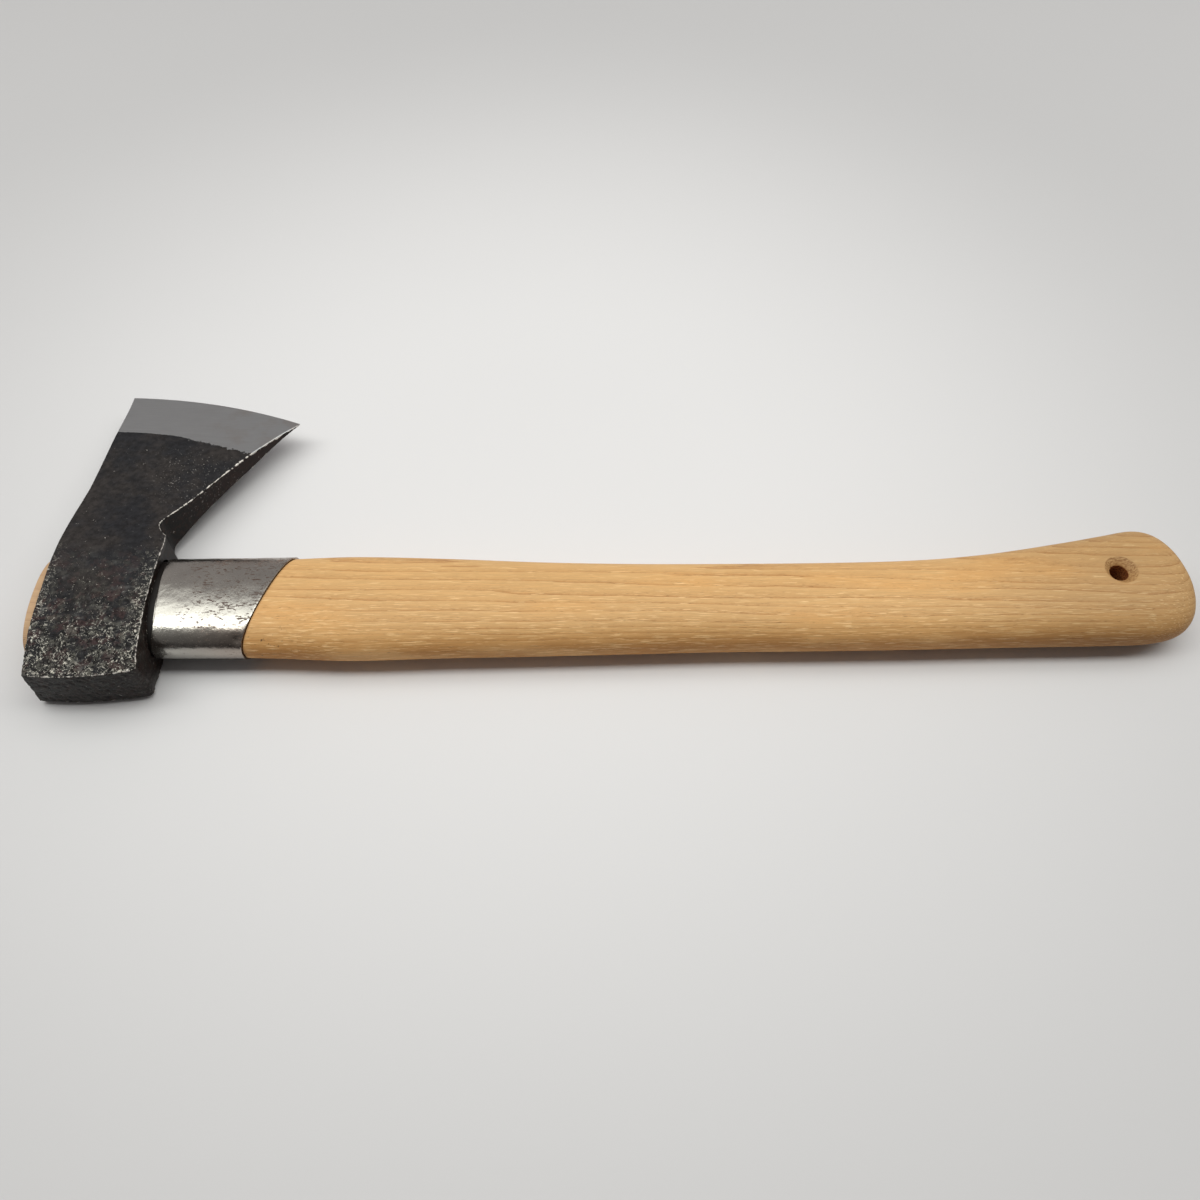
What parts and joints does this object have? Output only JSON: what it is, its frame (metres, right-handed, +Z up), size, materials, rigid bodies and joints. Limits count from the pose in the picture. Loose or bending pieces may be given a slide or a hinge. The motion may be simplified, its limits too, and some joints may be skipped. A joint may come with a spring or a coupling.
{
  "type": "hatchet",
  "caption": "Small forest hatchet: a forged bearded head, a steel collar at the neck and a swelling wooden handle with a hanging hole.",
  "frame": {"origin": "middle of the footprint of the hatchet lying on its side, on the surface it lies on", "axes": "+X along the handle towards the butt, +Y towards the cutting edge, +Z up, out of the upper cheek of the head"},
  "size_m": [0.3758, 0.1262, 0.0218],
  "materials": {
    "head_steel": "forged, black scale worn bright at the edges, with a ground bevel",
    "handle_wood": "hickory, sanded, grain along the handle",
    "collar_steel": "rolled sheet, half bright, with fine rust specks",
    "wedge_wood": "sawn hardwood",
    "staple_steel": "pressed strip, dull"
  },
  "bodies": {
    "root": {"head": "head_steel", "handle": "handle_wood", "collar": "collar_steel", "eye_wedge": "wedge_wood", "wedge_staple": "staple_steel"}
  },
  "joints": []
}
